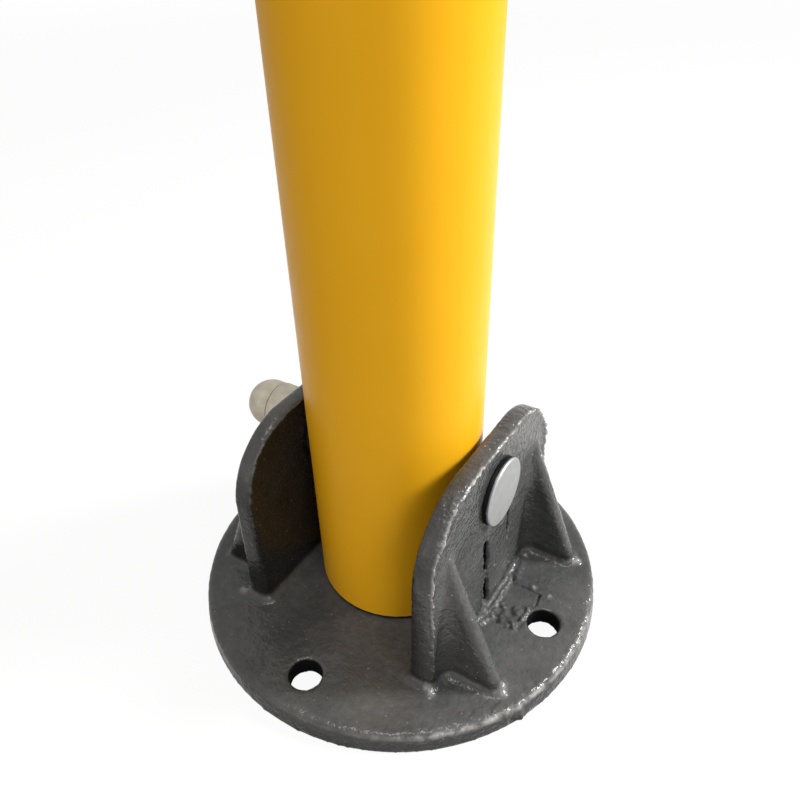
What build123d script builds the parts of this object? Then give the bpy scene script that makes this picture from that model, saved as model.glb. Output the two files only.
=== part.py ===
from build123d import *
import math
import os

# Fold-down bollard: a round steel post between the two ears of a round cast base plate.
# One headed pin through both ears is the hinge, and the post folds to the rear, +Y.
# All sizes are millimetres. The origin is the centre of the plate's underside, +Z is up
# and +X runs along the hinge pin towards its flat head.

# Post
tube_od = 76.1
tube_wall = 3.0
post_height = 900.0
foot_gap = 2.0
cap_rise = 12.0
cap_wall = 3.0
cap_rim_radius = 8.0

# Base plate and its four anchor holes
plate_diameter = 193.0
plate_thickness = 9.5
plate_draft = 7.0
plate_edge_radius = 3.4
anchor_inset = 19.0
anchor_hole_diameter = 14.5
anchor_count = 4

# Ears of the casting
ear_clearance = 1.05
ear_foot_thickness = 11.4
ear_width = 111.0
ear_top = 101.8
ear_corner_radius = 35.0
ear_draft = 1.03
ear_edge_radius = 2.2
casting_fillet = 4.0
spot_face_diameter = 36.0
spot_face_depth = 0.4

# Ribs on the outer faces of the ears
rib_front_inset = 15.2
rib_rear_inset = 13.2
rib_thickness = 7.8
rib_reach = 25.7
rib_height = 67.0
rib_edge_radius = 3.2
rib_fillet = 6.5

# Marks that the loose cores left on the casting below the pin's head
core_strip_width = 23.0
core_strip_shift = 5.0
core_pad_gap = 3.5
core_pad_length = 16.0
core_pad_width = 21.5
core_pad_shift = 3.5
core_mark_relief = 0.7
core_strip_gap = 0.8

# Hinge pin, its sleeve and bushes
pin_height = 77.0
pin_set_back = 2.5
pin_diameter = 20.0
pin_head_diameter = 31.0
pin_head_thickness = 3.0
pin_head_edge = 0.5
pin_end_diameter = 16.0
pin_end_chamfer = 1.0
pin_bore_clearance = 0.1
sleeve_od = 28.0
sleeve_stand_out = 0.25
bush_wall = 1.95
bush_flange_diameter = 32.0
bush_length = 18.0
running_clearance = 0.05
end_play = 0.3
seat_gap = 0.3

# Collar and domed end cap on the pin's far end
collar_diameter = 24.0
collar_length = 19.8
collar_edge = 0.6
end_cap_diameter = 23.4
end_cap_length = 16.4
end_cap_bore_depth = 10.0
set_screw_diameter = 6.0
set_screw_socket = 3.0
set_screw_socket_depth = 1.8
set_screw_recess = 0.7

# Key lock in the left ear
lock_drop = 30.0
lock_throw = 9.5
lock_boss_diameter = 34.0
lock_boss_height = 7.5
lock_boss_fillet = 2.5
barrel_diameter = 22.0
barrel_flange_diameter = 28.0
barrel_flange_thickness = 3.0
barrel_neck_diameter = 24.0
barrel_neck_length = 8.0
barrel_end_wall = 4.0
barrel_edge = 0.6
plunger_diameter = 18.0
plunger_edge = 0.6
nose_diameter = 12.0
nose_chamfer = 1.5
spring_space = 15.5
spring_wire = 1.2
spring_wire_sides = 8
spring_turns = 4
spring_clearance = 0.3
plunger_stand_out = 2.5
stop_pin_diameter = 3.0
stop_slot_depth = 2.0
key_cylinder_diameter = 10.0
key_cylinder_length = 14.0
keyway_width = 1.5
keyway_height = 6.5
keyway_depth = 9.0
cover_thickness = 1.0
cover_radius = 5.6
cover_pivot_radius = 2.6
cover_pivot_offset = 7.0
rivet_diameter = 1.8
rivet_length = 3.0
rivet_head_diameter = 3.6
rivet_head_thickness = 0.9
keeper_diameter = 20.0
keeper_length = 6.5
keeper_clearance = 0.4
small_gap = 0.15

# Worked-out places
plate_radius = plate_diameter / 2
tube_radius = tube_od / 2
anchor_circle = plate_diameter - 2 * anchor_inset
tube_bore_radius = tube_radius - tube_wall
foot_height = plate_thickness + foot_gap
tube_top = post_height - cap_rise
heel_radius = pin_height - foot_height
ear_foot_inside = tube_radius + ear_clearance
ear_slope = math.tan(math.radians(ear_draft))


def ear_inner(height):
    """Distance of an ear's inner face from the middle plane at a height above the ground."""
    return ear_foot_inside + ear_slope * (height - plate_thickness)


def ear_outer(height):
    """Distance of an ear's outer face from the middle plane at a height above the ground."""
    return ear_foot_inside + ear_foot_thickness - ear_slope * (height - plate_thickness)


rib_top = plate_thickness + rib_height
rib_front = ear_width / 2 - rib_front_inset
rib_rear = ear_width / 2 - rib_rear_inset
rib_tip = ear_outer(plate_thickness) + rib_reach
rib_slope = (rib_tip - ear_outer(rib_top)) / rib_height
core_pad_start = ear_outer(plate_thickness) + core_pad_gap
spot_face = ear_inner(pin_height + spot_face_diameter / 2) + spot_face_depth
sleeve_half = tube_radius + sleeve_stand_out
bush_flange = spot_face - end_play - sleeve_half
bush_bore = pin_diameter + 2 * running_clearance
bush_od = bush_bore + 2 * bush_wall
head_seat = ear_outer(pin_height - pin_head_diameter / 2)
pin_shoulder = ear_outer(pin_height) + seat_gap
collar_start = pin_shoulder + small_gap
collar_end = collar_start + collar_length
stub_end = collar_end + end_cap_length
pin_end = collar_end + end_cap_bore_depth - seat_gap
collar_screw_place = collar_start + collar_length / 2
lock_height = pin_height - lock_drop
boss_face = ear_outer(lock_height) + lock_boss_height
barrel_inner = ear_inner(lock_height) + seat_gap
spring_seat = barrel_inner + barrel_end_wall
plunger_shoulder = spring_seat + spring_space
barrel_outer = boss_face + barrel_flange_thickness + barrel_neck_length
plunger_face = barrel_outer + lock_throw + plunger_stand_out
plunger_bore = plunger_diameter + 2 * running_clearance
nose_bore = nose_diameter + 2 * running_clearance
stop_pin_place = barrel_outer - barrel_neck_length / 2
barrel_screw_place = boss_face - lock_boss_height / 2
keeper_outer = tube_radius - small_gap
nose_end = barrel_inner + small_gap
cover_seat = plunger_face + small_gap
rivet_head_seat = cover_seat + cover_thickness + small_gap
strip_top = pin_height - pin_head_diameter / 2 - core_strip_gap
strip_foot = plate_thickness / 2

# Planes across the pin and across the lock, which look outwards, with y up
pin_place = (0, pin_set_back, pin_height)
lock_place = (0, pin_set_back, lock_height)
PIN_RIGHT = Plane(origin=pin_place, x_dir=(0, 1, 0), z_dir=(1, 0, 0))
PIN_LEFT = Plane(origin=pin_place, x_dir=(0, -1, 0), z_dir=(-1, 0, 0))
LOCK = Plane(origin=lock_place, x_dir=(0, -1, 0), z_dir=(-1, 0, 0))

# Planes for turned profiles: x runs outwards along the pin or the lock, y is the radius
PIN_PROFILE = Plane(origin=pin_place, x_dir=(1, 0, 0), z_dir=(0, -1, 0))
STUB_PROFILE = Plane(origin=pin_place, x_dir=(-1, 0, 0), z_dir=(0, 1, 0))
LOCK_PROFILE = Plane(origin=lock_place, x_dir=(-1, 0, 0), z_dir=(0, 1, 0))
PIN_AXIS = Axis(pin_place, (1, 0, 0))
LOCK_AXIS = Axis(lock_place, (1, 0, 0))

# Plane along the pin and the lock, which looks to the rear
REAR = Plane(origin=(0, pin_set_back, 0), x_dir=(-1, 0, 0), z_dir=(0, 1, 0))

# Ear of the casting: a drafted slab, cut to its arched outline
with BuildPart() as ear:
    with BuildSketch(Plane.XZ):
        with BuildLine():
            Polyline(
                (ear_inner(0), 0),
                (ear_outer(0), 0),
                (ear_outer(ear_top), ear_top),
                (ear_inner(ear_top), ear_top),
                close=True,
            )
        make_face()
    extrude(amount=ear_width / 2, both=True)
    with BuildSketch(Plane.YZ) as ear_outline:
        with Locations((0, ear_top / 2)):
            Rectangle(ear_width, ear_top)
        fillet(ear_outline.vertices().group_by(Axis.Y)[-1], ear_corner_radius)
    extrude(amount=plate_radius, mode=Mode.INTERSECT)
    ear_faces = ear.faces().sort_by(Axis.X)
    ear_rims = ear_faces[0].edges() + ear_faces[-1].edges()
    fillet(ear_rims.filter_by(lambda e: e.center().Z > ear_edge_radius), ear_edge_radius)

# Rib of the casting: a triangle on the ear's outer face, with a rounded crest
with BuildPart() as rib:
    with BuildSketch(Plane.XZ):
        with BuildLine():
            Polyline(
                (ear_outer(0) - ear_edge_radius, 0),
                (rib_tip + rib_slope * plate_thickness, 0),
                (ear_outer(rib_top), rib_top),
                (ear_outer(rib_top) - ear_edge_radius, rib_top),
                close=True,
            )
        make_face()
    extrude(amount=rib_thickness / 2, both=True)
    crest = rib.faces().sort_by(lambda f: f.normal_at().X + f.normal_at().Z)[-1]
    fillet(crest.edges().filter_by(Axis.Y, reverse=True), rib_edge_radius)


def on_rib_side(edge):
    """True on the corner between an ear's outer face and the side of a rib."""
    middle = edge.center()
    from_rib = min(abs(middle.Y + rib_front), abs(middle.Y - rib_rear))
    return abs(from_rib - rib_thickness / 2) < small_gap and abs(middle.X - ear_outer(middle.Z)) < small_gap


# One ear with its two ribs
with BuildPart() as upright:
    add(ear.part)
    with Locations((0, -rib_front, 0), (0, rib_rear, 0)):
        add(rib.part)
    fillet(upright.edges().filter_by(on_rib_side), rib_fillet)


def on_plate_top(edge):
    """True on the foot of an upright, and not on the plate's own rim."""
    ends = [edge.position_at(share) for share in (0, 0.5, 1)]
    flat = all(abs(end.Z - plate_thickness) < small_gap / 10 for end in ends)
    return flat and all(math.hypot(end.X, end.Y) < plate_radius - anchor_hole_diameter / 2 for end in ends)


# Base casting: plate, two uprights, lock boss, core marks, bores and anchor holes in one
with BuildPart() as base_casting:
    with BuildSketch():
        Circle(plate_radius)
    extrude(amount=plate_thickness, taper=plate_draft)
    fillet(base_casting.edges().group_by(Axis.Z)[-1], plate_edge_radius)
    add(upright.part)
    add(upright.part.mirror(Plane.YZ))
    fillet(base_casting.edges().filter_by(on_plate_top), casting_fillet)
    with BuildSketch(LOCK.offset(barrel_inner)):
        Circle(lock_boss_diameter / 2)
    extrude(amount=boss_face - barrel_inner)
    boss_foot = base_casting.edges().filter_by(GeomType.ELLIPSE).sort_by(SortBy.LENGTH)[-1]
    fillet(boss_foot, lock_boss_fillet)
    with BuildSketch(Plane.XZ.offset(-core_strip_shift)):
        with BuildLine():
            Polyline(
                (ear_outer(strip_foot) - core_mark_relief, strip_foot),
                (ear_outer(strip_foot) + core_mark_relief, strip_foot),
                (ear_outer(strip_top) + core_mark_relief, strip_top),
                (ear_outer(strip_top) - core_mark_relief, strip_top),
                close=True,
            )
        make_face()
    extrude(amount=core_strip_width / 2, both=True)
    with BuildSketch(Plane.XY.offset(plate_thickness)):
        with Locations((core_pad_start + core_pad_length / 2, core_pad_shift)):
            Rectangle(core_pad_length, core_pad_width)
    extrude(amount=-core_mark_relief, mode=Mode.SUBTRACT)
    with BuildSketch(PIN_LEFT.offset(-spot_face)):
        Circle(spot_face_diameter / 2)
    extrude(amount=2 * spot_face, mode=Mode.SUBTRACT)
    with BuildSketch(PIN_RIGHT):
        Circle(pin_diameter / 2 + pin_bore_clearance)
    extrude(amount=plate_radius, both=True, mode=Mode.SUBTRACT)
    with BuildSketch(LOCK):
        Circle(barrel_diameter / 2)
    extrude(amount=plate_radius, mode=Mode.SUBTRACT)
    with BuildSketch(REAR):
        with Locations((barrel_screw_place, lock_height)):
            Circle(set_screw_diameter / 2)
    extrude(amount=lock_boss_diameter / 2, mode=Mode.SUBTRACT)
    with BuildSketch():
        with PolarLocations(anchor_circle / 2, anchor_count):
            Circle(anchor_hole_diameter / 2)
    extrude(amount=plate_thickness, mode=Mode.SUBTRACT)
base_casting.part.label = "base_casting"

# Post tube. Its foot is flat in front of the pin. Behind the pin it is cut round, so that
# the heel passes over the plate as the post folds.
with BuildPart() as post_tube:
    with BuildSketch(Plane.XY.offset(foot_height)):
        Circle(tube_radius)
        Circle(tube_bore_radius, mode=Mode.SUBTRACT)
    extrude(amount=tube_top - foot_height)
    with BuildSketch(Plane.YZ):
        with Locations((pin_set_back + tube_radius, pin_height - heel_radius / 2)):
            Rectangle(tube_od, heel_radius)
        with Locations((pin_set_back, pin_height)):
            Circle(heel_radius, mode=Mode.SUBTRACT)
    extrude(amount=tube_od, both=True, mode=Mode.SUBTRACT)
    with BuildSketch(PIN_RIGHT):
        Circle(sleeve_od / 2)
    extrude(amount=tube_od, both=True, mode=Mode.SUBTRACT)
    with BuildSketch(LOCK):
        Circle(keeper_diameter / 2)
    extrude(amount=tube_od, mode=Mode.SUBTRACT)
post_tube.part.label = "post_tube"

# Pressed cap welded on the top of the tube
with BuildPart() as post_cap:
    with BuildSketch(Plane.XY.offset(tube_top)):
        Circle(tube_radius)
    extrude(amount=cap_rise)
    fillet(post_cap.edges().group_by(Axis.Z)[-1], cap_rim_radius)
    offset(amount=-cap_wall, openings=post_cap.faces().sort_by(Axis.Z)[0])
post_cap.part.label = "post_cap"

# Sleeve welded across the post for the hinge pin
with BuildPart() as pin_sleeve:
    with BuildSketch(PIN_RIGHT):
        Circle(sleeve_od / 2)
        Circle(bush_od / 2, mode=Mode.SUBTRACT)
    extrude(amount=sleeve_half, both=True)
pin_sleeve.part.label = "pin_sleeve"

# Flanged bush, pressed into each end of the sleeve. The flange keeps the post off the ear.
with BuildPart() as bush_right:
    with BuildSketch(PIN_RIGHT.offset(sleeve_half - bush_length)):
        Circle(bush_od / 2)
    extrude(amount=bush_length)
    with BuildSketch(PIN_RIGHT.offset(sleeve_half)):
        Circle(bush_flange_diameter / 2)
    extrude(amount=bush_flange)
    with BuildSketch(PIN_RIGHT):
        Circle(bush_bore / 2)
    extrude(amount=spot_face, mode=Mode.SUBTRACT)
bush_right.part.label = "bush_right"

with BuildPart() as bush_left:
    add(bush_right.part.mirror(Plane.YZ))
bush_left.part.label = "bush_left"

# Hinge pin: a flat head on the right, a shoulder and a thinner end on the left
with BuildPart() as hinge_pin:
    with BuildSketch(PIN_PROFILE):
        with BuildLine():
            Polyline(
                (-pin_end, 0),
                (-pin_end, pin_end_diameter / 2 - pin_end_chamfer),
                (-pin_end + pin_end_chamfer, pin_end_diameter / 2),
                (-pin_shoulder, pin_end_diameter / 2),
                (-pin_shoulder, pin_diameter / 2),
                (head_seat, pin_diameter / 2),
                (head_seat, pin_head_diameter / 2),
                (head_seat + pin_head_thickness - pin_head_edge, pin_head_diameter / 2),
                (head_seat + pin_head_thickness, pin_head_diameter / 2 - pin_head_edge),
                (head_seat + pin_head_thickness, 0),
                close=True,
            )
        make_face()
    revolve(axis=PIN_AXIS)
hinge_pin.part.label = "hinge_pin"

# Collar on the pin's thinner end, held by a set screw at the back
with BuildPart() as pin_collar:
    with BuildSketch(PIN_LEFT.offset(collar_start)):
        Circle(collar_diameter / 2)
    extrude(amount=collar_length)
    chamfer(pin_collar.edges().filter_by(GeomType.CIRCLE), collar_edge)
    with BuildSketch(PIN_LEFT):
        Circle(pin_end_diameter / 2 + running_clearance)
    extrude(amount=collar_end, mode=Mode.SUBTRACT)
    with BuildSketch(REAR):
        with Locations((collar_screw_place, pin_height)):
            Circle(set_screw_diameter / 2)
    extrude(amount=collar_diameter, mode=Mode.SUBTRACT)
pin_collar.part.label = "pin_collar"

with BuildPart() as collar_set_screw:
    with BuildSketch(REAR.offset(pin_end_diameter / 2)):
        with Locations((collar_screw_place, pin_height)):
            Circle(set_screw_diameter / 2)
    extrude(amount=(collar_diameter - pin_end_diameter) / 2 - set_screw_recess)
    with BuildSketch(Plane(collar_set_screw.faces().sort_by(Axis.Y)[-1])):
        RegularPolygon(set_screw_socket / math.sqrt(3), 6)
    extrude(amount=-set_screw_socket_depth, mode=Mode.SUBTRACT)
collar_set_screw.part.label = "collar_set_screw"

# Domed cap pressed over the end of the pin, against the collar
with BuildPart() as pin_end_cap:
    with BuildSketch(STUB_PROFILE):
        with BuildLine():
            dome_start = (stub_end - end_cap_diameter / 2, end_cap_diameter / 2)
            Polyline(
                (stub_end, 0),
                (collar_end + end_cap_bore_depth, 0),
                (collar_end + end_cap_bore_depth, pin_end_diameter / 2 + running_clearance),
                (collar_end, pin_end_diameter / 2 + running_clearance),
                (collar_end, end_cap_diameter / 2),
                dome_start,
            )
            RadiusArc(dome_start, (stub_end, 0), end_cap_diameter / 2)
        make_face()
    revolve(axis=PIN_AXIS)
pin_end_cap.part.label = "pin_end_cap"

# Lock keeper: a thick ring welded into the left wall of the post, which takes the bolt
with BuildPart() as lock_keeper:
    with BuildSketch(LOCK.offset(keeper_outer - keeper_length)):
        Circle(keeper_diameter / 2)
        Circle(nose_diameter / 2 + keeper_clearance, mode=Mode.SUBTRACT)
    extrude(amount=keeper_length)
lock_keeper.part.label = "lock_keeper"

# Lock barrel: flanged housing in the bore of the boss
with BuildPart() as lock_barrel:
    with BuildSketch(LOCK_PROFILE):
        with BuildLine():
            Polyline(
                (barrel_inner, nose_bore / 2),
                (barrel_inner, barrel_diameter / 2),
                (boss_face, barrel_diameter / 2),
                (boss_face, barrel_flange_diameter / 2),
                (boss_face + barrel_flange_thickness, barrel_flange_diameter / 2),
                (boss_face + barrel_flange_thickness, barrel_neck_diameter / 2),
                (barrel_outer - barrel_edge, barrel_neck_diameter / 2),
                (barrel_outer, barrel_neck_diameter / 2 - barrel_edge),
                (barrel_outer, plunger_bore / 2),
                (spring_seat, plunger_bore / 2),
                (spring_seat, nose_bore / 2),
                close=True,
            )
        make_face()
    revolve(axis=LOCK_AXIS)
    with BuildSketch():
        with Locations((-stop_pin_place, pin_set_back)):
            Circle(stop_pin_diameter / 2)
    extrude(amount=lock_height, mode=Mode.SUBTRACT)
lock_barrel.part.label = "lock_barrel"

# Set screw that holds the barrel in its boss
with BuildPart() as barrel_set_screw:
    with BuildSketch(REAR.offset(barrel_diameter / 2)):
        with Locations((barrel_screw_place, lock_height)):
            Circle(set_screw_diameter / 2)
    extrude(amount=(lock_boss_diameter - barrel_diameter) / 2 - set_screw_recess)
    with BuildSketch(Plane(barrel_set_screw.faces().sort_by(Axis.Y)[-1])):
        RegularPolygon(set_screw_socket / math.sqrt(3), 6)
    extrude(amount=-set_screw_socket_depth, mode=Mode.SUBTRACT)
barrel_set_screw.part.label = "barrel_set_screw"

# Lock plunger: pushed in, its nose enters the keeper and holds the post upright
with BuildPart() as lock_plunger:
    with BuildSketch(LOCK_PROFILE):
        with BuildLine():
            Polyline(
                (nose_end, 0),
                (nose_end, nose_diameter / 2 - nose_chamfer),
                (nose_end + nose_chamfer, nose_diameter / 2),
                (plunger_shoulder, nose_diameter / 2),
                (plunger_shoulder, plunger_diameter / 2),
                (plunger_face - plunger_edge, plunger_diameter / 2),
                (plunger_face, plunger_diameter / 2 - plunger_edge),
                (plunger_face, 0),
                close=True,
            )
        make_face()
    revolve(axis=LOCK_AXIS)
    with BuildSketch(LOCK.offset(plunger_face - key_cylinder_length - small_gap)):
        Circle(key_cylinder_diameter / 2 + running_clearance)
    extrude(amount=plunger_face, mode=Mode.SUBTRACT)
    with BuildSketch(LOCK.offset(plunger_face - rivet_length)):
        with Locations((0, cover_pivot_offset)):
            Circle(rivet_diameter / 2)
    extrude(amount=rivet_length, mode=Mode.SUBTRACT)
    slot_width = stop_pin_diameter + 2 * running_clearance
    with BuildSketch(Plane.XY.offset(lock_height - plunger_diameter / 2)):
        with Locations((-stop_pin_place - lock_throw / 2, pin_set_back)):
            SlotOverall(slot_width + lock_throw, slot_width)
    extrude(amount=stop_slot_depth, mode=Mode.SUBTRACT)
lock_plunger.part.label = "lock_plunger"

# Pin in the barrel's neck, which keeps the plunger in by its slot
with BuildPart() as lock_stop_pin:
    with BuildSketch(Plane.XY.offset(lock_height - barrel_neck_diameter / 2 + small_gap)):
        with Locations((-stop_pin_place, pin_set_back)):
            Circle(stop_pin_diameter / 2)
    extrude(amount=(barrel_neck_diameter - plunger_diameter) / 2 + stop_slot_depth - 2 * small_gap)
lock_stop_pin.part.label = "lock_stop_pin"

# Coil spring round the plunger's nose
with BuildPart() as lock_spring:
    spring_end = spring_seat + spring_wire / 2 + spring_clearance
    spring_height = spring_space - spring_wire - 2 * spring_clearance
    spring_radius = (nose_diameter + plunger_bore) / 4
    with BuildLine():
        coil = Helix(
            pitch=spring_height / spring_turns,
            height=spring_height,
            radius=spring_radius,
            center=(-spring_end, pin_set_back, lock_height),
            direction=(-1, 0, 0),
        )
    with BuildSketch(Plane(origin=coil @ 0, z_dir=coil % 0)):
        RegularPolygon(spring_wire / 2, spring_wire_sides)
    sweep()
lock_spring.part.label = "lock_spring"

# Key cylinder in the plunger's face, with its keyway
with BuildPart() as key_cylinder:
    with BuildSketch(LOCK.offset(plunger_face - key_cylinder_length)):
        Circle(key_cylinder_diameter / 2)
    extrude(amount=key_cylinder_length)
    with BuildSketch(LOCK.offset(plunger_face - keyway_depth)):
        Rectangle(keyway_width, keyway_height)
    extrude(amount=keyway_depth, mode=Mode.SUBTRACT)
key_cylinder.part.label = "key_cylinder"

# Cover that hangs over the keyway from its rivet
with BuildPart() as keyhole_cover:
    with BuildSketch(LOCK.offset(cover_seat)):
        Circle(cover_radius)
        with Locations((0, cover_pivot_offset)):
            Circle(cover_pivot_radius)
        make_hull()
        with Locations((0, cover_pivot_offset)):
            Circle(rivet_diameter / 2 + running_clearance, mode=Mode.SUBTRACT)
    extrude(amount=cover_thickness)
keyhole_cover.part.label = "keyhole_cover"

with BuildPart() as cover_rivet:
    with BuildSketch(LOCK.offset(plunger_face - rivet_length)):
        with Locations((0, cover_pivot_offset)):
            Circle(rivet_diameter / 2)
    extrude(amount=rivet_head_seat - plunger_face + rivet_length)
    with BuildSketch(LOCK.offset(rivet_head_seat)):
        with Locations((0, cover_pivot_offset)):
            Circle(rivet_head_diameter / 2)
    extrude(amount=rivet_head_thickness)
    fillet(cover_rivet.edges().sort_by(Axis.X)[0], rivet_head_thickness / 2)
cover_rivet.part.label = "cover_rivet"

os.makedirs("parts", exist_ok=True)
export_step(base_casting.part, "parts/base_casting.step")
export_step(post_tube.part, "parts/post_tube.step")
export_step(post_cap.part, "parts/post_cap.step")
export_step(pin_sleeve.part, "parts/pin_sleeve.step")
export_step(bush_right.part, "parts/bush_right.step")
export_step(bush_left.part, "parts/bush_left.step")
export_step(hinge_pin.part, "parts/hinge_pin.step")
export_step(pin_collar.part, "parts/pin_collar.step")
export_step(collar_set_screw.part, "parts/collar_set_screw.step")
export_step(pin_end_cap.part, "parts/pin_end_cap.step")
export_step(lock_keeper.part, "parts/lock_keeper.step")
export_step(lock_barrel.part, "parts/lock_barrel.step")
export_step(barrel_set_screw.part, "parts/barrel_set_screw.step")
export_step(lock_plunger.part, "parts/lock_plunger.step")
export_step(lock_stop_pin.part, "parts/lock_stop_pin.step")
export_step(lock_spring.part, "parts/lock_spring.step")
export_step(key_cylinder.part, "parts/key_cylinder.step")
export_step(keyhole_cover.part, "parts/keyhole_cover.step")
export_step(cover_rivet.part, "parts/cover_rivet.step")

print(f"post folds about the pin at {pin_height} mm, heel radius {heel_radius} mm")
print(f"lock at {lock_height} mm, plunger face {plunger_face:.2f} mm, cover pivot {cover_pivot_offset} mm above it")
print(f"stub ends at {stub_end:.2f} mm, ear outer face at the pin {ear_outer(pin_height):.2f} mm")
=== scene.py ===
import math

import bmesh
import bpy
from mathutils import Matrix, Vector, noise


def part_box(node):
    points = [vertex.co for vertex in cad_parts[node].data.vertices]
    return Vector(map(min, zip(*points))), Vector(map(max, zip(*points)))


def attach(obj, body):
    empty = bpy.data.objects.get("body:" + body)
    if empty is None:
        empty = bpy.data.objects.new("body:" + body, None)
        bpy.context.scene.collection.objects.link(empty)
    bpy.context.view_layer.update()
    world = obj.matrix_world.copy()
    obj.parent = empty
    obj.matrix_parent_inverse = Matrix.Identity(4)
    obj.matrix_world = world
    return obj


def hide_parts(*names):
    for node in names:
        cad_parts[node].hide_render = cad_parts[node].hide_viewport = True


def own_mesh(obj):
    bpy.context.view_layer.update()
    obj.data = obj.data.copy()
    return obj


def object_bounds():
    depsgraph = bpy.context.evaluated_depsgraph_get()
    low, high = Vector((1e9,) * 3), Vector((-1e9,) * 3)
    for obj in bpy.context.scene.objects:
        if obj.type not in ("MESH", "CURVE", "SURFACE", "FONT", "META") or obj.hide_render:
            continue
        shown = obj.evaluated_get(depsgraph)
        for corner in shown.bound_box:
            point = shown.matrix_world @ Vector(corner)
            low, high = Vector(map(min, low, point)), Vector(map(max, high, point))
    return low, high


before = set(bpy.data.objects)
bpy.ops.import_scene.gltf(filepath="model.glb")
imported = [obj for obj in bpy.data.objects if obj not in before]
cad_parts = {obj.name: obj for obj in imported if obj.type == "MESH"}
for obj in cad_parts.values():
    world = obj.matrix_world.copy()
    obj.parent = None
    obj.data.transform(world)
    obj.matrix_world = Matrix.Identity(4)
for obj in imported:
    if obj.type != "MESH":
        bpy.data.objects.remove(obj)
cad_low, cad_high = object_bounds()

# Fold-down bollard: a yellow post between the ears of a black round cast base.
# All sizes are metres, in the frame of the CAD model: +Z is up and +X runs along the
# hinge pin towards its flat head.
MM = 0.001

# Places read from the frame
plate_radius = cad_high.x
tube_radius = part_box("post_tube")[1].x
pin_low, pin_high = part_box("hinge_pin")
pin_middle = (pin_low + pin_high) / 2
pin_head_radius = (pin_high.z - pin_low.z) / 2
lock_low, lock_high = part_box("lock_plunger")
lock_middle = (lock_low + lock_high) / 2

# Sizes of the casting that its boxes don't give
plate_thickness = 9.5 * MM
anchor_circle_radius = 77.5 * MM
anchor_hole_radius = 7.25 * MM
ear_foot = 50.5 * MM
ear_lean = 0.018
pad_start = 54 * MM
pad_end = 70 * MM
crumbs_front = -11 * MM
crumbs_rear = 3 * MM
lock_boss_radius = 17 * MM
ear_inside = 39.15 * MM
ear_top = 101.8 * MM
ear_half_width = 55.5 * MM
ear_corner_radius = 35 * MM
ear_corner_height = ear_top - ear_corner_radius
ear_corner_width = ear_half_width - ear_corner_radius
knob_angle = math.radians(-27.4)

# Sizes of the cast skin's mesh and marks
skin_voxel = 1.2 * MM
swell_height = 0.16 * MM
swell_size = 14 * MM
sand_height = 0.13 * MM
sand_size = 3.4 * MM
skin_sink = 0.12 * MM
crumb_height = 2.4 * MM
crumb_size = 4.2 * MM
foot_roughness = 0.7 * MM
flash_height_right = 1.3 * MM
flash_height_left = 0.5 * MM
flash_inset = 1.4 * MM
flash_wander = 0.6 * MM
flash_width = 0.9 * MM
rim_lump_height = 0.55 * MM
rim_lump_size = 3.6 * MM
knob_height = 1.9 * MM
knob_width = 7 * MM
knob_reach = 16 * MM
hollow_depth = 1.9 * MM
hollow_width = 2.1 * MM
facet_height = 0.8 * MM
facet_width = 1.3 * MM
knob_grain_height = 0.5 * MM
# Lighter paint on beads, on the ears' flash and on a band of the rim: painted highlights, partly wear
highlight_band_width = 2.4 * MM
highlight_band_inset = 1.1 * MM
bead_highlight = 0.35
flash_highlight = 0.45
rim_highlight_strength = 0.8

# Shifts in metres, by which a mark takes its noise from elsewhere than the others
seam_shift = Vector((3, 1, 4))
wander_shift = Vector((5, 2, 7))
foot_shift = Vector((2, 9, 5))


def ear_face(height):
    """Distance of an ear's outer face from the middle plane at a height."""
    return ear_foot - ear_lean * (height - plate_thickness)


def ear_inner_face(height):
    """Distance of an ear's inner face from the middle plane at a height."""
    return ear_inside + ear_lean * (height - plate_thickness)


# Small helpers for node materials


def socket(shader, name, value):
    """Sets one of the shader's own sockets."""
    shader.inputs[name].default_value = value


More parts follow.
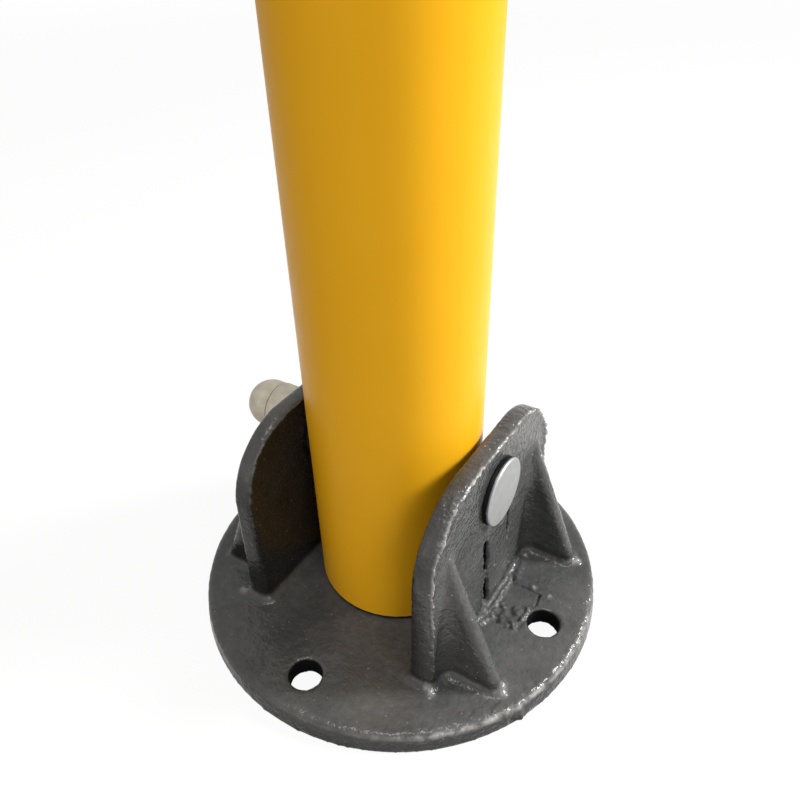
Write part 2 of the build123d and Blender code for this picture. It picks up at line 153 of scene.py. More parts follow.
class Surface:
    """A Principled material with short calls for the nodes that its finish needs."""

    def __init__(self, name, colour, roughness, metallic=0.0):
        self.material = bpy.data.materials.new(name)
        self.material.use_nodes = True
        tree = self.material.node_tree
        self.nodes = tree.nodes
        self.links = tree.links
        self.shader = self.nodes["Principled BSDF"]
        socket(self.shader, "Base Color", (*colour, 1))
        socket(self.shader, "Roughness", roughness)
        socket(self.shader, "Metallic", metallic)
        self.place = self.nodes.new("ShaderNodeTexCoord").outputs["Object"]

    def add(self, kind, **values):
        """A new node with its properties set."""
        node = self.nodes.new("ShaderNode" + kind)
        for name, value in values.items():
            setattr(node, name, value)
        return node

    def join(self, output, target):
        """Links an output to an input, or sets the input where a plain value is given."""
        if isinstance(output, (int, float, tuple)):
            target.default_value = output
        else:
            self.links.new(output, target)

    def stretched(self, x, y, z):
        """The object's coordinates, each axis times its own factor."""
        mapping = self.add("Mapping")
        self.links.new(self.place, mapping.inputs["Vector"])
        mapping.inputs["Scale"].default_value = (x, y, z)
        return mapping.outputs["Vector"]

    def grain(self, size, detail=3.0, roughness=0.55, place=None):
        """Noise from 0 to 1 with features of about that size in metres."""
        texture = self.add("TexNoise")
        self.join(place or self.place, texture.inputs["Vector"])
        texture.inputs["Scale"].default_value = 1 / size
        texture.inputs["Detail"].default_value = detail
        texture.inputs["Roughness"].default_value = roughness
        return texture.outputs["Fac"]

    def pits(self, size):
        """Distance to the middle of scattered cells of about that size."""
        texture = self.add("TexVoronoi")
        self.links.new(self.place, texture.inputs["Vector"])
        texture.inputs["Scale"].default_value = 1 / size
        return texture.outputs["Distance"]

    def span(self, value, low, high, to_low=0.0, to_high=1.0):
        """Maps a value from one range to another, clamped."""
        ranged = self.add("MapRange")
        self.join(value, ranged.inputs["Value"])
        ranged.inputs["From Min"].default_value = low
        ranged.inputs["From Max"].default_value = high
        ranged.inputs["To Min"].default_value = to_low
        ranged.inputs["To Max"].default_value = to_high
        return ranged.outputs["Result"]

    def math(self, operation, first, second=0.0):
        """One arithmetic step."""
        step = self.add("Math", operation=operation)
        self.join(first, step.inputs[0])
        self.join(second, step.inputs[1])
        return step.outputs["Value"]

    def product(self, *values):
        """All the values multiplied."""
        total = values[0]
        for value in values[1:]:
            total = self.math("MULTIPLY", total, value)
        return total

    def blend(self, share, first, second):
        """A colour between two colours."""
        # Of a Mix node's sockets, inputs 6 and 7 and output 2 are the ones for colours
        mix = self.add("Mix", data_type="RGBA")
        self.join(share, mix.inputs[0])
        for value, target in ((first, mix.inputs[6]), (second, mix.inputs[7])):
            self.join((*value, 1) if isinstance(value, tuple) else value, target)
        return mix.outputs[2]

    def axis(self, letter):
        """One of the object's coordinates, in metres."""
        split = self.add("SeparateXYZ")
        self.links.new(self.place, split.inputs[0])
        return split.outputs[letter]

    def between(self, letter, low, high, soft):
        """1 where a coordinate lies between two places, with soft edges."""
        value = self.axis(letter)
        rise = self.span(value, low - soft, low)
        fall = self.span(value, high, high + soft, 1.0, 0.0)
        return self.product(rise, fall)

    def from_middle(self):
        """Distance from the upright axis through the plate's middle."""
        flat = self.add("VectorMath", operation="LENGTH")
        self.links.new(self.stretched(1, 1, 0), flat.inputs[0])
        return flat.outputs["Value"]

    def from_anchor_hole(self):
        """Distance from the axis of the nearest anchor hole."""
        x = self.math("ABSOLUTE", self.axis("X"))
        y = self.math("ABSOLUTE", self.axis("Y"))
        along = self.math("SUBTRACT", self.math("MAXIMUM", x, y), anchor_circle_radius)
        across = self.math("MINIMUM", x, y)
        squares = self.math("ADD", self.math("POWER", along, 2.0), self.math("POWER", across, 2.0))
        return self.math("SQRT", squares)

    def bump(self, height, depth, strength=1.0):
        """Bump of a height from 0 to 1 that is this deep, in metres."""
        node = self.add("Bump")
        self.join(height, node.inputs["Height"])
        node.inputs["Strength"].default_value = strength
        node.inputs["Distance"].default_value = depth
        self.links.new(node.outputs["Normal"], self.shader.inputs["Normal"])

    def colour(self, output):
        """Links the colour, which varies over the surface."""
        self.links.new(output, self.shader.inputs["Base Color"])

    def roughness(self, output):
        """Links the roughness, which varies over the surface."""
        self.links.new(output, self.shader.inputs["Roughness"])

    def gloss(self, output):
        """Links the strength of the reflections, which varies over the surface."""
        self.links.new(output, self.shader.inputs["Specular IOR Level"])


# Finish of the casting


def deep_in_cracks(s):
    """1 at the bottom of the ear's and the pad's cracks, where hardly any light gets."""
    leaning = s.math("MULTIPLY", s.math("SUBTRACT", s.axis("Z"), plate_thickness), ear_lean)
    level = s.math("ADD", s.axis("X"), leaning)
    on_ear = s.product(
        s.span(level, ear_foot - 0.9 * MM, ear_foot - 0.45 * MM, 1.0, 0.0),
        s.between("X", 46 * MM, 55 * MM, 1 * MM),
        s.between("Y", -14 * MM, 20 * MM, 1 * MM),
        s.between("Z", 13 * MM, 60.5 * MM, 0.5 * MM),
    )
    on_plate = s.product(
        s.span(s.axis("Z"), plate_thickness - 1.6 * MM, plate_thickness - 1.1 * MM, 1.0, 0.0),
        s.between("X", 52 * MM, 70 * MM, 0.2 * MM),
        s.between("Y", -13 * MM, 18 * MM, 1 * MM),
        s.between("Z", 4 * MM, 10 * MM, 1 * MM),
    )
    return s.math("MAXIMUM", on_ear, on_plate)


def in_bore(s):
    """1 on the walls of the anchor holes, which the casting paints near black as painted shade."""
    wall = anchor_hole_radius + 0.05 * MM
    outside = anchor_hole_radius + 0.7 * MM
    return s.span(s.from_anchor_hole(), wall, outside, 1.0, 0.0)


def casting_height(s, sand, lumps, grainy):
    """Height of the painted skin, from 0 to 1: sand grains, lumps and pores."""
    pores = s.span(s.pits(2.4 * MM), 0.0, 0.35)
    height = s.math("ADD", s.math("MULTIPLY", sand, 0.5), s.math("MULTIPLY", lumps, 0.75))
    height = s.math("ADD", height, s.math("MULTIPLY", pores, 0.15))
    return s.math("MULTIPLY", height, s.span(grainy, 0.0, 1.0, 0.38, 0.72))


def dust_and_top_light(s, outer_ear):
    """1 where paint is lighter, as dust and as painted light: on what faces up and on the right ear's
    outer face.
    """
    upward = s.add("SeparateXYZ")
    s.links.new(s.add("TexCoord").outputs["Normal"], upward.inputs[0])
    return s.math("MAXIMUM", s.span(upward.outputs["Z"], 0.1, 0.55), outer_ear)


def paint_wear_and_highlights(s, grainy):
    """1 where paint is lighter: painted highlights on edges and beads, and specks, partly wear and
    partly painted glints.
    """
    edges = s.add("Attribute", attribute_name="wear_and_highlight").outputs["Fac"]
    specks_and_glints = s.product(
        s.span(s.pits(3.4 * MM), 0.06, 0.13, 0.8, 0.0),
        s.span(s.grain(11 * MM, 2), 0.46, 0.6),
        s.span(grainy, 0.0, 0.5, 0.35, 1.0),
    )
    return s.math("MAXIMUM", edges, specks_and_glints)


def around_pad(s):
    """1 about the core's pad on the plate, where the paint is matt."""
    return s.product(
        s.between("X", 51 * MM, 68 * MM, 2 * MM),
        s.between("Y", -11 * MM, 19 * MM, 3 * MM),
        s.between("Z", 5 * MM, 15 * MM, 3 * MM),
    )


def black_casting():
    """Semi-gloss black paint over the skin of a sand casting, grainier on the outer ear and the rim."""
    s = Surface("black_casting", (0.05, 0.05, 0.05), 0.3)
    sand = s.grain(1.5 * MM, 1, 0.5)
    lumps = s.grain(3.2 * MM, 2, 0.45)
    broad = s.grain(28 * MM, 3)
    outer_ear = s.product(s.span(s.axis("X"), 40 * MM, 47 * MM), s.span(s.axis("Z"), 10 * MM, 16 * MM))
    rim = s.span(s.from_middle(), plate_radius - 9 * MM, plate_radius - 4 * MM, 0.0, 0.2)
    grainy = s.math("MAXIMUM", outer_ear, rim)
    s.bump(casting_height(s, sand, lumps, grainy), 1.1 * MM)

    cloud = s.span(s.math("ADD", broad, s.math("MULTIPLY", lumps, 0.4)), 0.55, 0.95)
    bare = s.blend(cloud, (0.012, 0.012, 0.0123), (0.022, 0.0218, 0.0213))
    dusty_and_lit = s.blend(cloud, (0.053, 0.053, 0.0535), (0.092, 0.0915, 0.089))
    # Lighter paint on faces that look up and on the right ear's outer face: partly dust, partly painted
    # light where the lamps fall
    paint = s.blend(dust_and_top_light(s, outer_ear), bare, dusty_and_lit)
    wear_and_highlight = paint_wear_and_highlights(s, grainy)
    # Light grey where edges, beads and specks are lighter: painted highlights and glints, partly wear
    paint = s.blend(wear_and_highlight, paint, (0.40, 0.39, 0.37))
    # Near black paint in the anchor holes and at the bottom of the cracks: painted shade
    dark = s.math("MAXIMUM", in_bore(s), deep_in_cracks(s))
    s.colour(s.blend(dark, paint, (0.008, 0.008, 0.008)))

    matt = around_pad(s)
    satin = s.span(s.math("ADD", broad, sand), 0.7, 1.3, 0.14, 0.26)
    satin = s.math("ADD", satin, s.math("MULTIPLY", matt, 0.14))
    s.roughness(s.math("MAXIMUM", satin, s.math("MULTIPLY", dark, 0.9)))
    gloss = s.product(
        s.span(dark, 0.0, 1.0, 1.0, 0.1),
        s.span(wear_and_highlight, 0.0, 0.6, 0.24, 0.8),
        s.span(matt, 0.0, 1.0, 1.0, 0.7),
    )
    s.gloss(gloss)
    return s.material


# Finish of the other pieces


def yellow_powder():
    """Satin powder coat with a fine orange-peel skin over a drawn tube."""
    s = Surface("yellow_powder", (0.90, 0.44, 0.006), 0.34)
    peel = s.grain(2.2 * MM, 2, 0.4)
    drawn = s.grain(5 * MM, 2, 0.5, s.stretched(1, 1, 0.02))
    s.bump(s.math("ADD", peel, s.math("MULTIPLY", drawn, 0.6)), 0.05 * MM, 0.6)
    tone = s.span(s.grain(60 * MM, 2), 0.35, 0.65)
    s.colour(s.blend(tone, (0.90, 0.445, 0.011), (0.93, 0.465, 0.014)))
    s.roughness(s.span(s.grain(9 * MM, 3), 0.3, 0.7, 0.3, 0.4))
    socket(s.shader, "Specular IOR Level", 0.08)
    return s.material


def uneven_metal(name, colour, roughness):
    """Metal with uneven roughness, and clouds from 0 to 1 for its tone."""
    s = Surface(name, colour, roughness, 1.0)
    s.roughness(s.span(s.grain(2.5 * MM, 4), 0.3, 0.7, roughness - 0.07, roughness + 0.09))
    return s, s.span(s.grain(6 * MM, 4), 0.3, 0.7)


def scratch_metal(s, marks=None):
    """Fine scratches, with other marks added to them where wanted."""
    fine = s.grain(0.5 * MM, 2, 0.5)
    if marks:
        fine = s.math("ADD", fine, s.math("MULTIPLY", marks, 0.8))
    s.bump(fine, 0.03 * MM, 0.5)


def dull_metal(name, light, dark, roughness, turned=0.0):
    """Plain metal, with turning marks of that size about the X axis where wanted."""
    s, cloud = uneven_metal(name, light, roughness)
    s.colour(s.blend(cloud, dark, light))
    scratch_metal(s, s.grain(turned, 2, 0.5, s.stretched(1, 0.02, 0.02)) if turned else None)
    return s.material


def zinc_pin():
    """Zinc-plated pin, with painted shade in the corner between its head and the ear."""
    light = (0.37, 0.378, 0.378)
    dark = (0.32, 0.326, 0.326)
    s, cloud = uneven_metal("zinc_plated", light, 0.5)
    ragged = s.math("ADD", s.axis("X"), s.math("MULTIPLY", cloud, 0.4 * MM))
    # Painted shade: near black on the head's side next to the ear, where it lies in shadow
    head_corner_shade = s.span(ragged, pin_high.x - 1.2 * MM, pin_high.x - 0.7 * MM, 1.0, 0.0)
    s.colour(s.blend(head_corner_shade, s.blend(cloud, dark, light), (0.02, 0.02, 0.02)))
    scratch_metal(s)
    return s.material


def black_plastic():
    """Moulded acetal, satin, with a faint grain."""
    s = Surface("black_plastic", (0.02, 0.02, 0.02), 0.42)
    s.bump(s.grain(0.8 * MM, 3), 0.03 * MM, 0.4)
    s.roughness(s.span(s.grain(3 * MM, 2), 0.3, 0.7, 0.36, 0.5))
    return s.material


def sight_rays(nodes, links):
    """1 for a ray by which the camera sees something, directly or in metal or glass."""
    path = nodes.new("ShaderNodeLightPath")
    total = path.outputs["Is Camera Ray"]
    for name in ("Is Glossy Ray", "Is Transmission Ray"):
        step = nodes.new("ShaderNodeMath")
        links.new(total, step.inputs[0])
        links.new(path.outputs[name], step.inputs[1])
        step.use_clamp = True
        total = step.outputs["Value"]
    return total


def plain_white():
    """Pale floor that throws little light back. The camera sees it white, with a faint shadow that
    fades out far from the object, and metal and glass see it with a fuller shadow."""
    fade_start = 0.9
    fade_end = 2.4
    glow_in_metal = 0.3
    s = Surface("floor_white", (0.3, 0.3, 0.29), 0.9)
    shade = s.add("BsdfDiffuse")
    shade.inputs["Color"].default_value = (1, 1, 1, 1)
    glow = s.add("Emission")
    direct = s.add("LightPath").outputs["Is Camera Ray"]
    glow_to_camera = s.span(s.from_middle(), fade_start, fade_end, 0.9, 1.0)
    share = s.math("MAXIMUM", s.math("MULTIPLY", direct, glow_to_camera), glow_in_metal)
    seen = s.add("MixShader")
    s.links.new(share, seen.inputs[0])
    s.links.new(shade.outputs[0], seen.inputs[1])
    s.links.new(glow.outputs[0], seen.inputs[2])
    mix = s.add("MixShader")
    s.links.new(sight_rays(s.nodes, s.links), mix.inputs[0])
    s.links.new(s.shader.outputs[0], mix.inputs[1])
    s.links.new(seen.outputs[0], mix.inputs[2])
    s.links.new(mix.outputs[0], s.nodes["Material Output"].inputs["Surface"])
    return s.material


def dress(node, material):
    """Gives a CAD node a material without touching its mesh."""
    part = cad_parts[node]
    part.data.materials.clear()
    part.data.materials.append(material)
    for face in part.data.polygons:
        face.material_index = 0


finishes = {
    "yellow_powder": yellow_powder(),
    "black_casting": black_casting(),
    "zinc": zinc_pin(),
    "stub_grey": dull_metal("stub_grey", (0.45, 0.41, 0.33), (0.34, 0.305, 0.245), 0.5, 0.7 * MM),
    "plain_steel": dull_metal("plain_steel", (0.5, 0.5, 0.51), (0.36, 0.36, 0.37), 0.36),
    "black_screw": dull_metal("black_screw", (0.09, 0.09, 0.1), (0.04, 0.04, 0.045), 0.34),
    "lock_chrome": dull_metal("lock_chrome", (0.74, 0.74, 0.75), (0.66, 0.66, 0.67), 0.2, 0.4 * MM),
    "lock_brass": dull_metal("lock_brass", (0.80, 0.60, 0.27), (0.62, 0.45, 0.18), 0.3, 0.4 * MM),
    "black_plastic": black_plastic(),
}
node_finish = {
    "post_tube": "yellow_powder",
    "post_cap": "yellow_powder",
    "hinge_pin": "zinc",
    "pin_collar": "stub_grey",
    "pin_end_cap": "stub_grey",
    "collar_set_screw": "black_screw",
    "barrel_set_screw": "black_screw",
    "pin_sleeve": "plain_steel",
    "lock_keeper": "plain_steel",
    "lock_stop_pin": "plain_steel",
    "lock_spring": "plain_steel",
    "bush_right": "black_plastic",
    "bush_left": "black_plastic",
    "lock_barrel": "lock_chrome",
    "lock_plunger": "lock_chrome",
    "keyhole_cover": "lock_chrome",
    "key_cylinder": "lock_brass",
    "cover_rivet": "lock_brass",
    "base_casting": "black_casting",
}
for node, finish in node_finish.items():
    dress(node, finishes[finish])


# Small helpers for the skin of the casting


def smooth_step(start, end, value):
    """0 on the side of start, 1 on the side of end, and a soft change between them."""
    share = min(max((value - start) / (end - start), 0.0), 1.0)
    return share * share * (3 - 2 * share)


def ridge(distance, width):
    """1 on a line and 0 a width away from it."""
    return 1 - smooth_step(0.0, width, abs(distance))


def bell(distance, width):
    """1 in the middle, falling like a bell to 0.37 a width away and to about 0 at twice that."""
    return math.exp(-((distance / width) ** 2))


def fractal(place, size, octaves=2):
    """Seedless noise about 0 with features of about that size."""
    return noise.fractal(place / size, 1.0, 2.1, octaves)


def lump(place, centre, radius, height):
    """Height of a round bead at a place."""
    away = (place - Vector(centre) * MM).length / (radius * MM)
    return height * MM * math.exp(-away * away)


def inside_ear_outline(place):
    """Distance inwards from the outline of an ear, as seen along the pin."""
    above = place.z - ear_corner_height
    beside = abs(place.y) - ear_corner_width
    if above > 0 and beside > 0:
        return ear_corner_radius - math.hypot(above, beside)
    return min(ear_half_width - abs(place.y), ear_top - place.z)


# Beads and runs of paint and metal: place, radius and height in millimetres
beads = (
    ((53.4, 42.3, 67.2), 1.5, 1.6),
    ((51.0, -57.5, 10.0), 1.5, 1.9),
    ((48.2, -56.8, 11.0), 1.2, 1.4),
    ((75.5, -39.6, 11.0), 1.5, 1.6),
    ((77.2, -42.0, 10.0), 1.3, 1.5),
    ((77.6, 42.4, 10.0), 1.5, 1.9),
    ((76.2, 40.2, 10.6), 1.3, 1.3),
    ((53.9, 33.0, 10.0), 1.3, 1.3),
    ((54.0, 15.0, 9.8), 0.9, 1.1),
    ((65.2, 16.6, 9.6), 1.1, 1.0),
    ((73.8, 15.5, 9.6), 1.0, 0.9),
    ((63.6, -10.2, 9.6), 0.9, 1.0),
    ((56.2, -9.0, 9.6), 0.9, 1.1),
    ((53.8, -14.2, 9.8), 1.1, 1.2),
    ((54.6, -11.8, 9.8), 0.9, 1.1),
    ((50.6, 18.4, 16.8), 0.8, 0.8),
    ((51.0, 0.9, 32.0), 0.7, 0.7),
    ((51.2, -6.9, 55.4), 0.9, 1.0),
    ((51.2, -6.2, 60.4), 0.7, 0.7),
    ((-53.8, -56.4, 10.0), 1.8, 1.0),
    ((-39.9, -54.4, 10.0), 1.4, 0.8),
)

# Cracks and flash that the cores left on the right ear and the plate: start, end, width, height
# and raggedness, the lengths in millimetres. A negative height is a crack.
seams = (
    ((51.0, -7.4, 60.0), (51.0, -7.2, 52.0), 1.4, -1.2, 0.8),
    ((51.0, -7.2, 52.0), (51.2, -6.7, 37.0), 2.8, -4.0, 0.25),
    ((51.2, -6.7, 37.0), (51.3, -6.3, 26.0), 1.7, -2.6, 0.8),
    ((51.3, -6.3, 26.0), (51.4, -5.6, 13.5), 3.1, -4.4, 0.25),
    ((50.6, -9.6, 54.0), (50.8, -9.0, 14.0), 1.1, 0.9, 1.0),
    ((51.4, -4.0, 44.0), (51.6, -3.2, 18.0), 1.0, 0.8, 1.0),
    ((50.6, 14.4, 58.0), (50.8, 15.4, 38.0), 2.3, -4.2, 0.2),
    ((50.9, 17.2, 39.0), (50.9, 18.4, 19.0), 1.0, 0.7, 0.3),
    ((51.6, 9.8, 14.6), (51.8, 4.0, 13.6), 1.0, 0.9, 0.3),
    ((53.7, 13.6, 9.8), (53.4, -6.5, 9.8), 0.9, 0.8, 0.7),
    ((51.8, 19.6, 12.0), (55.0, 15.8, 9.6), 1.2, -2.0, 0.1),
    ((53.8, 30.0, 10.4), (55.6, 19.0, 9.6), 2.6, 1.0, 0.3),
    ((56.0, 14.0, 9.5), (69.6, 13.8, 9.5), 1.1, -1.1, 0.3),
    ((69.6, 13.8, 9.5), (70.0, 7.0, 9.5), 1.0, -1.1, 0.2),
    ((55.8, -10.4, 9.5), (63.2, -10.8, 9.5), 1.0, -1.2, 0.4),
    ((63.2, -10.8, 9.5), (69.4, -7.4, 9.5), 1.0, -0.6, 0.5),
    ((52.0, -8.6, 11.5), (56.4, -9.6, 9.6), 1.0, 0.9, 0.6),
)

# Lowest and highest corner, in millimetres, of the space that holds all of them
seam_area = ((48, -16, 8), (76, 34, 63))


# Where the mesh of the skin is finer


def in_seam_area(place):
    """True where the core's seams and pad are."""
    return all(low * MM < value < high * MM for value, low, high in zip(place, *seam_area))


def near_knob(place):
    """True on the rim about the knob."""
    away = abs(math.atan2(place.y, place.x) - knob_angle) * plate_radius
    return away < 14 * MM and math.hypot(place.x, place.y) > plate_radius - 6 * MM


def on_ear_edge(place):
    """True along the edge of the right ear that shows in the photograph."""
    if place.x < ear_face(place.z) - 3.5 * MM or place.y > 35 * MM or place.z < 20 * MM:
        return False
    return inside_ear_outline(place) < 4 * MM


# Marks of the skin, each as a height at a place


def along_seam(place, start, end, width, height, ragged):
    """Height of one crack or flash at a place."""
    start = Vector(start) * MM
    end = Vector(end) * MM
    run = end - start
    share = min(max((place - start).dot(run) / run.length_squared, 0.0), 1.0)
    away = (place - start - run * share).length
    broken = 1 - ragged * smooth_step(-0.1, 0.3, fractal(place + seam_shift, 2.6 * MM))
    return height * MM * ridge(away, width * MM) * broken


def rough_foot(place):
    """The rough corner that the core left between the right ear and the plate."""
    share = 1 - smooth_step(ear_foot + 3 * MM, ear_foot + 5.5 * MM, place.x)
    share *= 1 - smooth_step(plate_thickness + 3 * MM, plate_thickness + 7 * MM, place.z)
    share *= smooth_step(-13 * MM, -9 * MM, place.y) * (1 - smooth_step(17 * MM, 21 * MM, place.y))
    return foot_roughness * fractal(place + foot_shift, 4.5 * MM, 3) * share


def pad_crumbs(place, wander):
    """Crumbs in the front part of the core's pad on the plate."""
    moved = place + wander
    share = smooth_step(pad_start, pad_start + 1.5 * MM, moved.x)
    share *= 1 - smooth_step(pad_end - 2 * MM, pad_end, moved.x)
    share *= smooth_step(crumbs_front, crumbs_front + 1.5 * MM, moved.y)
    slanted = moved.y - 0.25 * (moved.x - pad_start)
    share *= 1 - smooth_step(crumbs_rear - 4 * MM, crumbs_rear, slanted)
    crumb = fractal(place + wander * 2, crumb_size, 3)
    return (crumb_height * max(crumb, -0.25) + 0.5 * MM) * share


def core_marks(place):
    """What the cores left on the right ear and the plate: ragged seams, a rough foot and crumbs."""
    if not in_seam_area(place):
        return 0.0
    sideways = fractal(place, 5 * MM)
    lengthways = fractal(place + wander_shift, 5 * MM)
    wander = Vector((sideways, lengthways, 0)) * 0.8 * MM
    amount = sum(along_seam(place + wander, *seam) for seam in seams)
    amount += rough_foot(place)
    if place.z < plate_thickness + 2 * MM:
        amount += pad_crumbs(place, wander)
    return amount


def ear_flash(place):
    """The thin ragged flash along the edge of each ear's face on the side of the pin's head."""
    if place.z < plate_thickness + 5 * MM:
        return 0.0
    on_right = place.x > 0
    face = ear_face(place.z) if on_right else -ear_inner_face(place.z)
    depth = face - place.x
    inside = inside_ear_outline(place)
    if not (-1.5 * MM < depth < 3 * MM and inside < 5 * MM):
        return 0.0
    ragged = 0.9 + 0.7 * fractal(place, 2.4 * MM, 2)
    line = ridge(inside - flash_inset - flash_wander * fractal(place, 6 * MM), flash_width)
    height = flash_height_right if on_right else flash_height_left
    return height * line * max(ragged, 0.0) * smooth_step(2.6 * MM, 0.6 * MM, depth)


def rim_marks(place):
    """The lumpy upper edge of the plate's rim at the front right, and the knob of the runner on it."""
    radius = math.hypot(place.x, place.y)
    if radius < plate_radius - 6 * MM or place.z > plate_thickness + 1 * MM:
        return 0.0
    angle = math.atan2(place.y, place.x)
    along = (angle - knob_angle) * plate_radius
    reach = smooth_step(plate_radius - 5 * MM, plate_radius - 1 * MM, radius)
    edge = smooth_step(plate_thickness - 5.5 * MM, plate_thickness - 2.5 * MM, place.z)
    amount = rim_lump_height * fractal(place, rim_lump_size, 2) * edge
    amount *= smooth_step(-1.3, -0.9, angle)
    amount *= 1 - smooth_step(0.2, 0.7, angle)
    if abs(along) < knob_reach:
        low = 1 - smooth_step(2 * MM, plate_thickness - 1 * MM, place.z)
        amount += knob_height * bell(along, knob_width) * reach * (0.3 + 0.7 * low)
        from_hollow = math.hypot(along + 2.6 * MM, place.z - 3 * MM)
        amount -= hollow_depth * bell(from_hollow, hollow_width) * reach
        from_facet = along - 0.3 * MM - 0.35 * (place.z - 2 * MM)
        amount += facet_height * ridge(from_facet, facet_width) * reach * (1 - edge)
        grain = knob_grain_height * fractal(place, 1.8 * MM, 2)
        amount += grain * reach * bell(along + 3 * MM, 5 * MM)
    return amount


# Where the rim's painted highlight lies and where the relief fades, each as a share from 0 to 1


def painted_rim_highlight(place):
    """Share of painted highlight, a lighter band of paint, along the rounded rim at the front right."""
    radius = math.hypot(place.x, place.y)
    outward = radius - plate_radius + highlight_band_inset
    upward = place.z - plate_thickness + highlight_band_inset
    away = math.hypot(outward, upward)
    if away > highlight_band_width:
        return 0.0
    angle = math.degrees(math.atan2(place.y, place.x))
    sector = smooth_step(-100, -30, angle) ** 2 * (1 - smooth_step(-8, 30, angle))
    broken = max(0.6 + 1.1 * fractal(place, 4 * MM, 3), 0.0)
    return rim_highlight_strength * ridge(away, highlight_band_width) * sector * broken


def keep_machined(place):
    """1 on the cast skin, falling to 0 at the underside, the anchor holes, the pin and the lock's
    boss, so that the casting keeps its true form where other pieces meet it."""
    if place.z < 0.3 * MM:
        return 0.0
    share = smooth_step(0.2 * MM, 3 * MM, place.z)
    across_pin = math.hypot(place.y - pin_middle.y, place.z - pin_middle.z)
    share *= smooth_step(pin_head_radius + 0.5 * MM, pin_head_radius + 3 * MM, across_pin)
    if place.x < 0:
        across_lock = math.hypot(place.y - lock_middle.y, place.z - lock_middle.z)
        share *= smooth_step(lock_boss_radius, lock_boss_radius + 3 * MM, across_lock)
    for turn in range(4):
        x = anchor_circle_radius * math.cos(turn * math.pi / 2)
        y = anchor_circle_radius * math.sin(turn * math.pi / 2)
        from_hole = math.hypot(place.x - x, place.y - y)
        share *= smooth_step(anchor_hole_radius + 0.2 * MM, anchor_hole_radius + 2 * MM, from_hole)
    return share


# Skin of the casting


def dense_mesh(solid):
    """An even dense mesh that lies on a solid."""
    work = bpy.data.objects.new("casting_work", solid.data.copy())
    bpy.context.collection.objects.link(work)
    remesh = work.modifiers.new("remesh", "REMESH")
    remesh.mode = "VOXEL"
    remesh.voxel_size = skin_voxel
    wrap = work.modifiers.new("wrap", "SHRINKWRAP")
    wrap.target = solid
    smooth = work.modifiers.new("smooth", "SMOOTH")
    smooth.factor = 0.4
    smooth.iterations = 2
    bpy.context.view_layer.update()
    shaped = work.evaluated_get(bpy.context.evaluated_depsgraph_get())
    mesh = bpy.data.meshes.new_from_object(shaped)
    bpy.data.objects.remove(work)
    return mesh


def refine_marked(form):
    """Halves the edges of the mesh where its finest marks lie."""
    marked = []
    for face in form.faces:
        middle = face.calc_center_median()
        if in_seam_area(middle) or near_knob(middle) or on_ear_edge(middle):
            marked.append(face)
    edges = list({edge for face in marked for edge in face.edges})
    bmesh.ops.subdivide_edges(form, edges=edges, cuts=1, use_grid_fill=True)
    form.normal_update()


def raise_relief(form):
    """Moves each point by the height of the marks there, and stores its share of lighter paint, which
    is painted highlight and wear.
    """
    wear_and_highlight = form.verts.layers.float.new("wear_and_highlight")
    for vertex in form.verts:
        place = vertex.co.copy()
        share = keep_machined(place)
        if share == 0:
            continue
        swell = swell_height * fractal(place, swell_size)
        sand = sand_height * fractal(place, sand_size, 3)
        drops = sum(lump(place, *bead) for bead in beads)
        flash = ear_flash(place)
        relief = swell + sand - skin_sink
        relief += drops + flash + core_marks(place) + rim_marks(place)
        line = (flash / MM) ** 2 * smooth_step(32 * MM, 70 * MM, place.z)
        # Lighter paint on beads, on the flash line and on the rim band: painted highlights
        vertex[wear_and_highlight] = min(bead_highlight * drops / MM + flash_highlight * line + painted_rim_highlight(place), 1.0)
        vertex.co = place + vertex.normal * relief * share


def join_underside(form):
    """Joins the flat faces of the underside, and cuts faces of many corners into triangles."""
    under = []
    for face in form.faces:
        if face.normal.z < -0.999 and face.calc_center_median().z < 0.1 * MM:
            under.append(face)
    bmesh.ops.dissolve_faces(form, faces=under)
    bmesh.ops.triangulate(form, faces=[face for face in form.faces if len(face.verts) > 4])


def cast_skin():
    """The casting as a dense mesh that lies on its CAD solid, with the relief of a sand casting."""
    mesh = dense_mesh(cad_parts["base_casting"])
    form = bmesh.new()
    form.from_mesh(mesh)
    refine_marked(form)
    raise_relief(form)
    join_underside(form)
    form.to_mesh(mesh)
    form.free()
    for face in mesh.polygons:
        face.use_smooth = True
    mesh.materials.clear()
    mesh.materials.append(finishes["black_casting"])
    skin = bpy.data.objects.new("cast_skin", mesh)
    bpy.context.collection.objects.link(skin)
    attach(skin, "base")
    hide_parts("base_casting")


def coil_spring():
    """The lock's spring, as its own copy of the CAD mesh, riding on the base."""
    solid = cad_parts["lock_spring"]
    spring = bpy.data.objects.new("coil_spring", solid.data.copy())
    spring.matrix_world = solid.matrix_world
    bpy.context.collection.objects.link(spring)
    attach(spring, "base")
    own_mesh(spring)
    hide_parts("lock_spring")


# Floor, world, lights and camera


def studio_floor():
    """A wide pale floor just below the plate."""
    bpy.ops.mesh.primitive_plane_add(size=12, location=(0, 0, -0.2 * MM))
    floor = bpy.context.object
    floor.name = "studio_floor"
    floor.data.materials.append(plain_white())


def white_world(strength):
    """Even studio light, with a plain white background to the camera and in metal."""
    world = bpy.data.worlds.new("studio")
    bpy.context.scene.world = world
    world.use_nodes = True
    nodes = world.node_tree.nodes
    links = world.node_tree.links
    fill = nodes["Background"]
    fill.inputs["Color"].default_value = (1, 0.97, 0.88, 1)
    fill.inputs["Strength"].default_value = strength
    back = nodes.new("ShaderNodeBackground")
    back.inputs["Color"].default_value = (1, 1, 1, 1)
    back.inputs["Strength"].default_value = 1.0
    mix = nodes.new("ShaderNodeMixShader")
    links.new(sight_rays(nodes, links), mix.inputs[0])
    links.new(fill.outputs[0], mix.inputs[1])
    links.new(back.outputs[0], mix.inputs[2])
    links.new(mix.outputs[0], nodes["World Output"].inputs["Surface"])


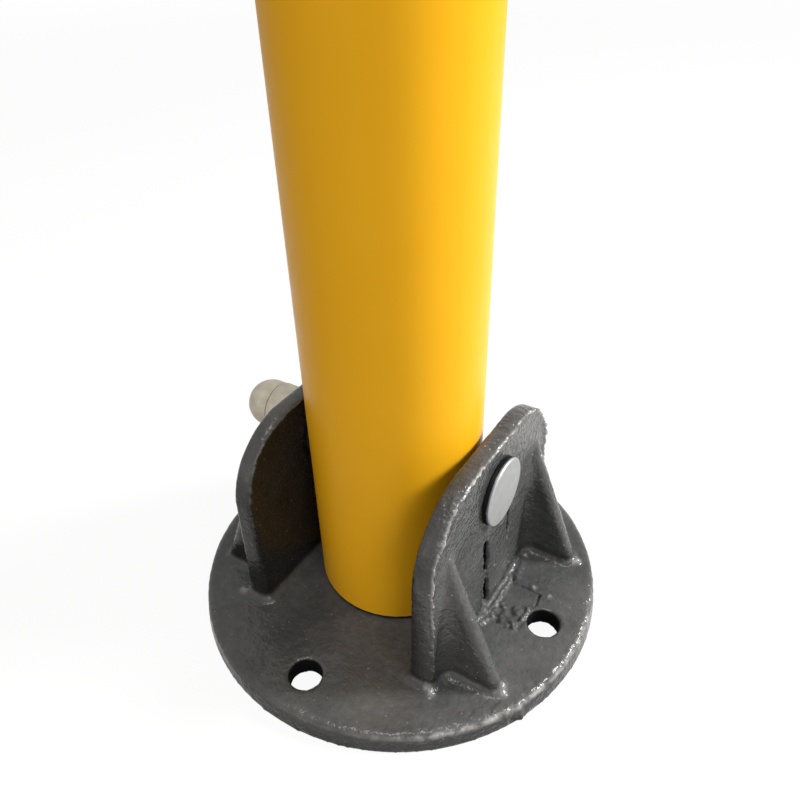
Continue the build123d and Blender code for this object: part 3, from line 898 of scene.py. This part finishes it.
def softbox(name, place, target, width, height, power, colour=(1, 1, 1)):
    """A rectangular area lamp that faces its target."""
    data = bpy.data.lights.new(name, "AREA")
    data.shape = "RECTANGLE"
    data.size = width
    data.size_y = height
    data.energy = power
    data.color = colour
    lamp = bpy.data.objects.new(name, data)
    lamp.location = place
    lamp.rotation_euler = (Vector(target) - Vector(place)).to_track_quat("-Z", "Y").to_euler()
    bpy.context.collection.objects.link(lamp)


def studio_lights():
    """A small key lamp at the rear right, and three larger ones that soften its shadows."""
    key_azimuth = math.radians(36)
    key_elevation = math.radians(33)
    key_reach = 1.3
    key_way = Vector((math.cos(key_azimuth), math.sin(key_azimuth), math.tan(key_elevation)))
    softbox(
        "key_rear_right",
        place=key_way * key_reach + Vector((0, 0, 0.1)),
        target=(0, 0, 0.12),
        width=0.36,
        height=0.36,
        power=32,
    )
    softbox("side_right", place=(1.3, -0.95, 0.9), target=(0, 0, 0.3), width=0.9, height=0.9, power=8.3)
    softbox("top", place=(0.1, -0.3, 2.2), target=(0, 0, 0), width=0.7, height=0.7, power=18)
    softbox(
        "front_fill",
        place=(-0.3, -1.6, 0.45),
        target=(0, 0, 0.15),
        width=1.0,
        height=0.6,
        power=2.9,
        colour=(1, 0.93, 0.82),
    )


def photo_camera():
    """The photograph's viewpoint: above the base, from the front right, slightly tilted."""
    azimuth = math.radians(32.86)
    elevation = math.radians(36.20)
    roll = math.radians(-1.58)
    focal_pixels = 732.99
    photo_pixels = 800
    distance = 8.2093 * tube_radius
    aim_side = 0.0576 * tube_radius
    aim_height = 2.8257 * tube_radius
    back = Vector(
        (
            math.sin(azimuth) * math.cos(elevation),
            -math.cos(azimuth) * math.cos(elevation),
            math.sin(elevation),
        )
    )
    right = Vector((math.cos(azimuth), math.sin(azimuth), 0))
    up = back.cross(right)
    aim = Vector((0, 0, aim_height)) + right * aim_side
    tilted_right = right * math.cos(roll) + up * math.sin(roll)
    tilted_up = up * math.cos(roll) - right * math.sin(roll)
    data = bpy.data.cameras.new("photo_camera")
    data.sensor_width = 36
    data.lens = focal_pixels * data.sensor_width / photo_pixels
    data.clip_start = 0.01
    camera = bpy.data.objects.new("photo_camera", data)
    turn = Matrix((tilted_right, tilted_up, back)).transposed()
    camera.matrix_world = Matrix.Translation(aim + back * distance) @ turn.to_4x4()
    bpy.context.collection.objects.link(camera)
    bpy.context.scene.camera = camera


cast_skin()
coil_spring()
studio_floor()
white_world(strength=0.2)
studio_lights()
photo_camera()
bpy.context.scene.view_settings.view_transform = "Standard"
